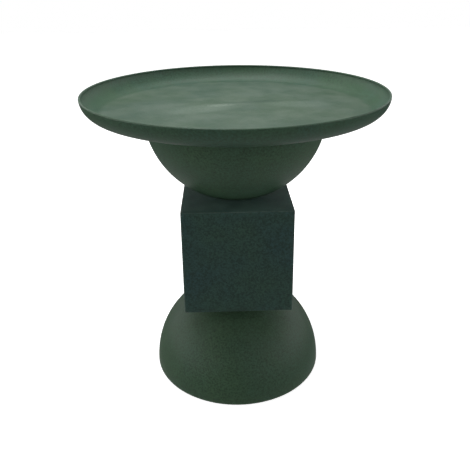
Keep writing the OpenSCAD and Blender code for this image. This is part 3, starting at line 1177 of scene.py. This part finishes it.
@dataclass
class Block:
    """Square block: a folded wall with a panel let in at each end."""

    shop: Workshop
    seats: Seats
    sheet: float = 1.5 * MM
    bend: float = 2.5 * MM
    edge: float = 0.65 * MM
    dent: float = 0.3 * MM
    wall_step: float = 9.0 * MM
    panel_sheet: float = 2.0 * MM
    panel_bend: float = 1.2 * MM
    panel_corner: float = 0.6 * MM
    round_within: float = 0.03      # half width within which a panel's loops are circles
    side_steps: int = 22
    bend_steps: int = 6
    panel_side_steps: int = 12

    def build(self) -> None:
        """Makes and fits the wall, both panels and the spacer tube."""
        self._wall()
        self._panel("top", True)
        self._panel("bottom", False)
        self.seats.fit_tube("block")

    def _wall(self) -> None:
        """Folded wall, its faces very slightly out of flat."""
        box = Extent.of("block_wrap")
        half, low, high = box.radius, box.bottom, box.top
        corners = [(x, z, self.edge) for x, z in ((0, low), (0, high), (self.sheet, high), (self.sheet, low))]
        section = spread(filleted(corners, 4), self.wall_step)
        loops = [
            square_loop(half - depth, self.bend - depth, z, self.side_steps, self.bend_steps)
            for depth, z in section
        ]

        def relax(p: Vector) -> Vector:
            """Draws the middle of each face slightly in."""
            along = min(abs(p.x), abs(p.y)) / half
            up = abs(2 * (p.z - low) / (high - low) - 1)
            slack = max(0.0, 1 - along**2) * max(0.0, 1 - up**4)
            away = Vector((p.x, 0, 0)) if abs(p.x) > abs(p.y) else Vector((0, p.y, 0))
            return p - away.normalized() * self.dent * slack * (0.6 + 0.8 * noise.noise(p * 12))

        self.shop.fit("block_wrap", "block_wall", Form().skin(loops, True).moved(relax), BLOCK_PAINT)

    def _panel(self, end: str, facing_up: bool) -> None:
        """End panel with a folded flange, flush in the wall.

        Args:
            end: Which end of the block, "top" or "bottom".
            facing_up: Whether its flat side is on top.
        """
        box = Extent.of(f"block_{end}_panel")
        half, depth, bend, core = box.radius, box.height, self.panel_bend, self.round_within
        outer, inner = half - bend, half - self.panel_sheet
        section = [(self.seats.rod_hole, 0.0)]
        section += [(core + (outer - core) * i / 5, 0.0) for i in range(5)]
        section += [(outer + x, bend + y) for x, y in arc((0, 0), bend, -90, 0, 5)]
        section += [(half, depth), (inner, depth), (inner, self.panel_sheet)]
        section += [(core + (inner - core) * i / 5, self.panel_sheet) for i in range(4, -1, -1)]
        section += [(self.seats.rod_hole, self.panel_sheet)]
        loops = []
        for reach, drop in section:
            z = box.top - drop if facing_up else box.bottom + drop
            radius = min(reach, max(self.panel_corner, half - reach))
            if reach < core:
                radius = reach - 0.01 * MM
            loops.append(square_loop(reach, radius, z, self.panel_side_steps, self.bend_steps))
        form = Form().skin(loops, True)
        self.shop.fit(f"block_{end}_panel", f"block_{end}_cover", form, BLOCK_PAINT, self.seats.pin_holes())


@dataclass
class Rod:
    """Tie rod with its washer, split washer and nut."""

    shop: Workshop
    radius: float = 4.95 * MM
    shank: float = 4.8 * MM
    pitch: float = 1.5 * MM
    lower_thread: float = 0.045
    upper_thread: float = 0.035
    washer_bore: float = 5.5 * MM
    split_bore: float = 5.05 * MM
    split_width: float = 2.0 * MM
    split_steps: int = 72
    nut_flats: float = 8.5 * MM
    nut_bore: float = 5.0 * MM

    def build(self) -> None:
        """Makes and fits the rod and what is on it."""
        box = Extent.of("tie_rod")
        lower, upper = box.bottom + self.lower_thread, box.top - self.upper_thread
        loops = [pole(box.bottom, ROD_ROUND)]
        loops += thread_loops(self.radius, self.pitch, box.bottom, lower, ROD_ROUND)
        loops += [Station(self.shank, z).loop(ROD_ROUND) for z in (lower + MM, upper - MM)]
        loops += thread_loops(self.radius, self.pitch, upper, box.top, ROD_ROUND)
        loops.append(pole(box.top, ROD_ROUND))
        self.shop.fit("tie_rod", "tie_rod_bar", Form().skin(loops, False), ZINC)
        washer = Extent.of("tie_rod_washer").ring(self.washer_bore, 0.4 * MM)
        self.shop.fit("tie_rod_washer", "plain_washer", washer, ZINC)
        self.shop.fit("tie_rod_lock_washer", "split_washer", self._split_washer(), ZINC)
        box = Extent.of("tie_rod_nut")
        nut = hex_nut(self.nut_flats, self.nut_bore, box.bottom, box.top, MM)
        self.shop.fit("tie_rod_nut", "hex_nut", nut, ZINC)

    def _split_washer(self) -> Form:
        """Square-section ring with a gap on the +X side."""
        box = Extent.of("tie_rod_lock_washer")
        section = ring(-box.low.x, self.split_bore, box.bottom, box.top, 0.3 * MM)
        middle = Vector(((-box.low.x + self.split_bore) / 2, 0, (box.bottom + box.top) / 2))
        gap = math.asin(self.split_width / 2 / middle.x)
        turns = [
            Matrix.Rotation(gap + (math.tau - 2 * gap) * step / self.split_steps, 3, "Z")
            for step in range(self.split_steps + 1)
        ]
        loops = [[turn @ Vector((r, 0, z)) for r, z in section] for turn in turns]
        first, last = ([turn @ middle] * len(section) for turn in (turns[0], turns[-1]))
        return Form().skin([first, *loops, last], False)


@dataclass
class Base:
    """What closes and weights the dome: base plate, ballast, their fasteners and the access cap."""

    shop: Workshop
    seats: Seats
    screw_count: int = 8
    screw_radius: float = 2.5 * MM
    screw_head: float = 5.0 * MM
    screw_pitch: float = 0.8 * MM
    bolt_radius: float = 3.0 * MM
    bolt_head: float = 5.5 * MM
    bolt_pitch: float = 1.0 * MM
    clearance: float = 0.5 * MM
    head_height: float = 1.5 * MM
    head_bevel: float = 0.35 * MM
    insert_reach: float = 7.506 * MM * math.cos(math.radians(15))   # along X, of an insert at 45 degrees
    glide_hole: float = 4.5 * MM
    bead_radius: float = 0.098
    bead_width: float = 4.0 * MM
    bead_depth: float = 0.8 * MM
    plate_fillet: float = 0.5 * MM
    casting_lumps: float = 0.25 * MM
    lip: float = 2.0 * MM
    cap_wall: float = 1.5 * MM

    def build(self) -> None:
        """Makes and fits every piece of the base."""
        turns = even_turns(self.screw_count)
        screw_offset = Extent.of("base_screws").offset(self.screw_head, turns[0])
        bolt_offset = Extent.of("ballast_bolts").offset(self.bolt_head, SQUARE_TURNS[0])
        self._plate(screw_offset, bolt_offset)
        self._ballast()
        for node, name, offset, angles, shank, head, pitch in (
            ("base_screws", "base_plate_screws", screw_offset, turns, self.screw_radius, self.screw_head,
             self.screw_pitch),
            ("ballast_bolts", "ballast_cap_bolts", bolt_offset, SQUARE_TURNS, self.bolt_radius, self.bolt_head,
             self.bolt_pitch),
        ):
            self.shop.fit(node, name, self._screw(node, shank, head, pitch).around(offset, angles), ZINC)
        self._cap()

    def _plate(self, screw_offset: float, bolt_offset: float) -> None:
        """Base plate with a stiffening bead, drilled for screws, bolts and glides.

        Args:
            screw_offset: Distance of the screws from the axis.
            bolt_offset: Distance of the ballast bolts from the axis.
        """
        box = Extent.of("base_plate")
        bore = Extent.of("access_cap").radius - self.lip
        low, high, rim, fillet = box.bottom, box.top, box.radius, self.plate_fillet

        def face(z: float) -> Outline:
            """One face of the plate, from its bore out past the bead."""
            plain = [(bore + (self.bead_radius - self.bead_width - bore) * i / 5, z) for i in range(1, 5)]
            bead = [
                (
                    self.bead_radius + self.bead_width * i / 4,
                    z - self.bead_depth * (0.5 + 0.5 * math.cos(math.pi * (i / 4))),
                )
                for i in range(-4, 5)
            ]
            return plain + bead + [(self.bead_radius + beyond, z) for beyond in (0.015, 0.03)]

        edge = [(rim - fillet, low), (rim, low + fillet), (rim, high - fillet), (rim - fillet, high)]
        inside = [(bore + fillet, high), (bore, high - fillet), (bore, low + fillet), (bore + fillet, low)]
        outline = face(low) + edge + face(high)[::-1] + inside
        glides = Extent.of("glide_inserts").offset(self.insert_reach, SQUARE_TURNS[0])
        holes = holes_around(screw_offset, even_turns(self.screw_count), self.screw_radius + self.clearance)
        holes += holes_around(bolt_offset, SQUARE_TURNS, self.bolt_radius + self.clearance)
        holes += holes_around(glides, SQUARE_TURNS, self.glide_hole)
        self.shop.fit("base_plate", "base_cover_plate", turned(outline, WIDE_ROUND), PAINT, holes)

    def _ballast(self) -> None:
        """Cast disc with a pocket for the tie rod nut."""
        box = Extent.of("ballast_disc")
        pocket = Extent.of("access_cap").radius - self.lip
        pocket_top = Extent.of("tie_rod_washer").top
        bore = self.seats.rod_hole
        corners = [
            (bore, pocket_top, 0), (pocket, pocket_top, MM), (pocket, box.bottom, 0.8 * MM),
            (box.radius, box.bottom, 1.2 * MM), (box.radius, box.top, 3 * MM), (bore, box.top, 0.5 * MM),
        ]

        def rough(p: Vector) -> Vector:
            """Roughens what the sand mould left, not the machined foot and pocket."""
            if math.hypot(p.x, p.y) < pocket or p.z < box.bottom + MM:
                return p
            return p - outward(p) * self.casting_lumps * abs(noise.noise(p * 90))

        form = turned(spread(filleted(corners, 4), 10 * MM), WIDE_ROUND).moved(rough)
        self.shop.fit("ballast_disc", "ballast_casting", form, IRON)

    def _screw(self, node: str, shank: float, head: float, pitch: float) -> Form:
        """Low-headed socket screw that points up.

        Args:
            node: The node that it stands for.
            shank: Thread radius.
            head: Head radius.
            pitch: Thread pitch.

        Returns:
            One screw, standing on the axis.
        """
        box = Extent.of(node)
        low, seat, nick = box.bottom, box.bottom + self.head_height, 0.1 * MM
        socket, depth, bevel = shank * HEX, self.head_height / 2, self.head_bevel
        stations = [
            Station(shank, low + depth, socket), Station(shank, low + nick, socket),
            Station(shank + nick, low, socket + nick), Station(head - bevel, low),
            Station(head, low + bevel), Station(head, seat - nick), Station(head - nick, seat),
        ]
        loops = [pole(low + depth, BOLT_ROUND)] + [s.loop(BOLT_ROUND) for s in stations]
        loops += [*thread_loops(shank, pitch, seat, box.top, BOLT_ROUND), pole(box.top, BOLT_ROUND)]
        return Form().skin(loops, False)

    def _cap(self) -> None:
        """Push-in cap: domed flange, hollow plug and a slot-free face."""
        box = Extent.of("access_cap")
        low, flange, plug = box.bottom, box.bottom + MM, box.radius - self.lip - 0.05 * MM
        hollow = plug - self.cap_wall
        corners = [
            (0, low + 0.35 * MM, 0), (6 * MM, low + 0.3 * MM, MM), (7 * MM, low, 0.5 * MM),
            (box.radius, low, 0.6 * MM), (box.radius, flange, 0.2 * MM), (plug, flange, 0.2 * MM),
            (plug, box.top, 0.6 * MM), (hollow, box.top, 0.3 * MM), (hollow, flange + MM, 0.5 * MM),
            (0, flange + MM, 0),
        ]
        self.shop.fit("access_cap", "access_plug", turned(filleted(corners)), PLASTIC)


@dataclass
class Glides:
    """Four levelling glides: a weld nut, a threaded stud and a pad for each."""

    shop: Workshop
    stud_radius: float = 3.95 * MM
    pitch: float = 1.25 * MM
    head: float = 7.0 * MM
    head_height: float = 1.2 * MM
    head_bevel: float = 0.2 * MM
    key: float = 2.0 * MM
    key_depth: float = 0.9 * MM
    nut_flats: float = 6.5 * MM
    nut_bore: float = 4.0 * MM
    floor_sheet: float = 0.8 * MM
    pocket_height: float = 1.4 * MM
    key_hole: float = 3.5 * MM
    pocket: float = 7.1 * MM
    neck: float = 4.1 * MM
    flutes: int = 24
    flute_depth: float = 0.3 * MM
    pad_round: int = 192

    def build(self) -> None:
        """Makes and fits the weld nuts, studs and pads."""
        nuts, first = Extent.of("glide_inserts"), Extent.of("glide_pad_1")
        offset = (first.low.x + first.high.x) / math.sqrt(2)
        nut = hex_nut(self.nut_flats, self.nut_bore, nuts.bottom, nuts.top, 0.7 * MM)
        self.shop.fit("glide_inserts", "glide_weld_nuts", nut.around(offset, SQUARE_TURNS), ZINC)
        for number, turn in enumerate(SQUARE_TURNS, 1):
            stud, pad = f"glide_stud_{number}", f"glide_pad_{number}"
            form = self._stud(stud).around(offset, [turn])
            self.shop.fit(stud, f"glide_{number}_screw", form, ZINC, body=stud)
            form = self._pad(pad).around(offset, [turn])
            self.shop.fit(pad, f"glide_{number}_foot", form, PLASTIC, body=pad)

    def _stud(self, node: str) -> Form:
        """Threaded stud with a trapped head and a key socket."""
        box = Extent.of(node)
        low, seat, bevel = box.bottom, box.bottom + self.head_height, self.head_bevel
        deep, corner = low + self.key_depth, self.key / HEX
        stations = [
            Station(corner, deep, self.key), Station(corner, low, self.key),
            Station(self.head - bevel, low), Station(self.head, low + bevel),
            Station(self.head, seat - bevel), Station(self.head - bevel, seat),
        ]
        loops = [pole(deep, BOLT_ROUND)] + [s.loop(BOLT_ROUND) for s in stations]
        loops += thread_loops(self.stud_radius, self.pitch, seat, box.top, BOLT_ROUND)
        loops.append(pole(box.top, BOLT_ROUND))
        return Form().skin(loops, False)

    def _pad(self, node: str) -> Form:
        """Moulded pad: fluted side, ringed sole and a pocket that traps the stud's head."""
        box = Extent.of(node)
        radius, low, top = box.radius, box.bottom, box.top
        sole, floor = low + 0.3 * MM, low + self.floor_sheet
        pocket_top = low + self.floor_sheet + self.pocket_height
        corners = [
            (self.key_hole, low, 0.2 * MM), (0.62 * radius, low, 0.1 * MM), (0.64 * radius, sole, 0.1 * MM),
            (0.8 * radius, sole, 0.1 * MM), (0.82 * radius, low, 0.1 * MM),
            (radius - 0.6 * MM, low, 0.2 * MM), (radius, low + 0.6 * MM, 0.3 * MM), (radius, top, 0.4 * MM),
            (self.neck, top, 0.15 * MM), (self.neck, pocket_top, 0), (self.pocket, pocket_top, 0),
            (self.pocket, floor, 0), (self.key_hole, floor, 0.1 * MM),
        ]

        def flute(p: Vector) -> Vector:
            """Cuts the grip flutes into the side."""
            if math.hypot(p.x, p.y) < radius - 0.45 * MM:
                return p
            wave = 0.5 + 0.5 * math.cos(self.flutes * math.atan2(p.y, p.x))
            return p - outward(p) * self.flute_depth * wave**3

        return turned(filleted(corners), self.pad_round).moved(flute)


# ---------------------------------------------------------------- studio


@dataclass(frozen=True)
class SoftBox:
    """A soft square light aimed at a point."""

    name: str
    place: Place
    target: Place
    power: float
    width: float = 0.9

    def build(self) -> None:
        """Hangs the light."""
        light = bpy.data.lights.new(self.name, "AREA")
        light.shape, light.size, light.size_y, light.energy = "RECTANGLE", self.width, self.width, self.power
        lamp = bpy.data.objects.new(self.name, light)
        lamp.location = self.place
        toward = Vector(self.target) - Vector(self.place)
        lamp.rotation_euler = toward.to_track_quat("-Z", "Y").to_euler()
        bpy.context.scene.collection.objects.link(lamp)


@dataclass
class Studio:
    """Plain pale floor, soft lights, white surroundings and the camera."""

    middle: float
    floor_half: float = 6.0
    floor_tone: float = 0.85
    floor_glow: float = 0.82
    backdrop: float = 1.0
    left_fill: float = 4.2
    right_fill: float = 3.9
    back_fill: float = 0.6
    front_fill: float = 0.52
    fill_top: Point = (0.20, 0.52)
    floor_light: Point = (0.30, 0.70)
    below_fill: float = 0.66
    camera_back: float = 0.918
    camera_height: float = 0.690
    camera_turn: float = 1.593
    camera_pitch: float = 20.907
    camera_roll: float = -0.602
    sensor: float = 36.0
    lens: float = 43.80
    shift: Point = (-0.0019, -0.1030)

    def build(self) -> None:
        """Sets up everything round the table."""
        bpy.context.scene.view_settings.view_transform = "Standard"
        self._floor()
        self._surroundings()
        aim = (0.0, 0.0, self.middle)
        SoftBox("overhead_left", (-0.6, -0.1, 2.3), aim, 26.0).build()
        SoftBox("overhead_front", (0.0, -0.7, 2.3), aim, 10.0).build()
        SoftBox("overhead_back", (0.0, 0.7, 2.3), aim, 24.0).build()
        self._camera()

    def _floor(self) -> None:
        """Pale floor, seen only from above."""
        h = self.floor_half
        mesh = bpy.data.meshes.new("floor")
        mesh.from_pydata([(-h, -h, 0), (h, -h, 0), (h, h, 0), (-h, h, 0)], [], [(0, 1, 2, 3)])
        floor = bpy.data.objects.new("floor", mesh)
        bpy.context.scene.collection.objects.link(floor)
        material = bpy.data.materials.new("pale_floor")
        material.use_nodes = True
        material.node_tree.nodes.clear()
        wires = Wiring(material.node_tree)
        matt, glow, lit = wires.add("BsdfDiffuse"), wires.add("Emission"), wires.add("AddShader")
        matt.inputs["Color"].default_value = (*[self.floor_tone] * 3, 1)
        glow.inputs["Strength"].default_value = self.floor_glow
        wires.feed(lit.inputs[0], matt.outputs[0])
        wires.feed(lit.inputs[1], glow.outputs[0])
        one_sided = wires.add("MixShader")
        wires.feed(one_sided.inputs[0], wires.add("NewGeometry").outputs["Backfacing"])
        wires.feed(one_sided.inputs[1], lit.outputs[0])
        wires.feed(one_sided.inputs[2], wires.add("BsdfTransparent").outputs[0])
        wires.feed(wires.add("OutputMaterial").inputs["Surface"], one_sided.outputs[0])
        mesh.materials.append(material)
        floor.visible_diffuse = floor.visible_glossy = floor.visible_shadow = floor.visible_transmission = False

    def _surroundings(self) -> None:
        """Bright walls low on each side, weaker ones in front and behind, and light back up from the floor."""
        world = bpy.data.worlds.new("white_surroundings")
        bpy.context.scene.world = world
        world.use_nodes = True
        world.node_tree.nodes.clear()
        wires = Wiring(world.node_tree)
        x, y, z = wires.parts(wires.add("TexCoord").outputs["Generated"])
        across, along = wires.math("MULTIPLY", x, x), wires.math("MULTIPLY", y, y)
        level = wires.math("ADD", wires.math("ADD", across, along), 1e-4)
        side = wires.math("DIVIDE", across, level)
        side = wires.math("MULTIPLY", side, wires.span(x, -0.01, 0.01, self.left_fill, self.right_fill))
        back = wires.math("DIVIDE", along, level)
        back = wires.math("MULTIPLY", back, wires.span(y, -0.01, 0.01, self.front_fill, self.back_fill))
        walls = wires.math("MULTIPLY", wires.math("ADD", side, back), wires.span(z, *self.fill_top, 1.0, 0.0))
        walls = wires.math("MULTIPLY", walls, wires.math("GREATER_THAN", z, 0.0))
        below = wires.span(z, -self.floor_light[0], -self.floor_light[1], 0.0, self.below_fill)
        fill = wires.math("ADD", walls, below)
        seen = wires.add("LightPath").outputs["Is Camera Ray"]
        strength = wires.span(seen, 0.0, 1.0, fill, self.backdrop)
        sky = wires.add("Background")
        sky.inputs["Color"].default_value = (1.0, 1.0, 1.0, 1.0)
        wires.feed(sky.inputs["Strength"], strength)
        wires.feed(wires.add("OutputWorld").inputs["Surface"], sky.outputs[0])

    def _camera(self) -> None:
        """Camera a little above the tray, looking down at the table."""
        lens = bpy.data.cameras.new("camera")
        lens.sensor_width, lens.lens = self.sensor, self.lens
        lens.shift_x, lens.shift_y = self.shift
        lens.clip_start, lens.clip_end = 0.01, 50.0
        camera = bpy.data.objects.new("camera", lens)
        turn, pitch, roll = (math.radians(a) for a in (self.camera_turn, self.camera_pitch, self.camera_roll))
        stand = Matrix.Rotation(-turn, 4, "Z") @ Matrix.Translation((0, -self.camera_back, self.camera_height))
        tilt = Matrix.Rotation(math.pi / 2 - pitch, 4, "X") @ Matrix.Rotation(roll, 4, "Z")
        camera.matrix_world = stand @ tilt
        bpy.context.scene.collection.objects.link(camera)
        bpy.context.scene.camera = camera


def main() -> None:
    """Builds the table and the studio round it."""
    logging.basicConfig(level=logging.INFO, format="%(message)s")
    shop = Workshop()
    seats = Seats(shop)
    parts = (
        Tray(shop), Pressing(shop, seats, "bowl", True), seats, Block(shop, seats),
        Pressing(shop, seats, "dome", False), Rod(shop), Base(shop, seats), Glides(shop),
    )
    for part in parts:
        part.build()
    Studio(middle=(CAD_BOX[0].z + CAD_BOX[1].z) / 2).build()


if __name__ == "__main__":
    main()
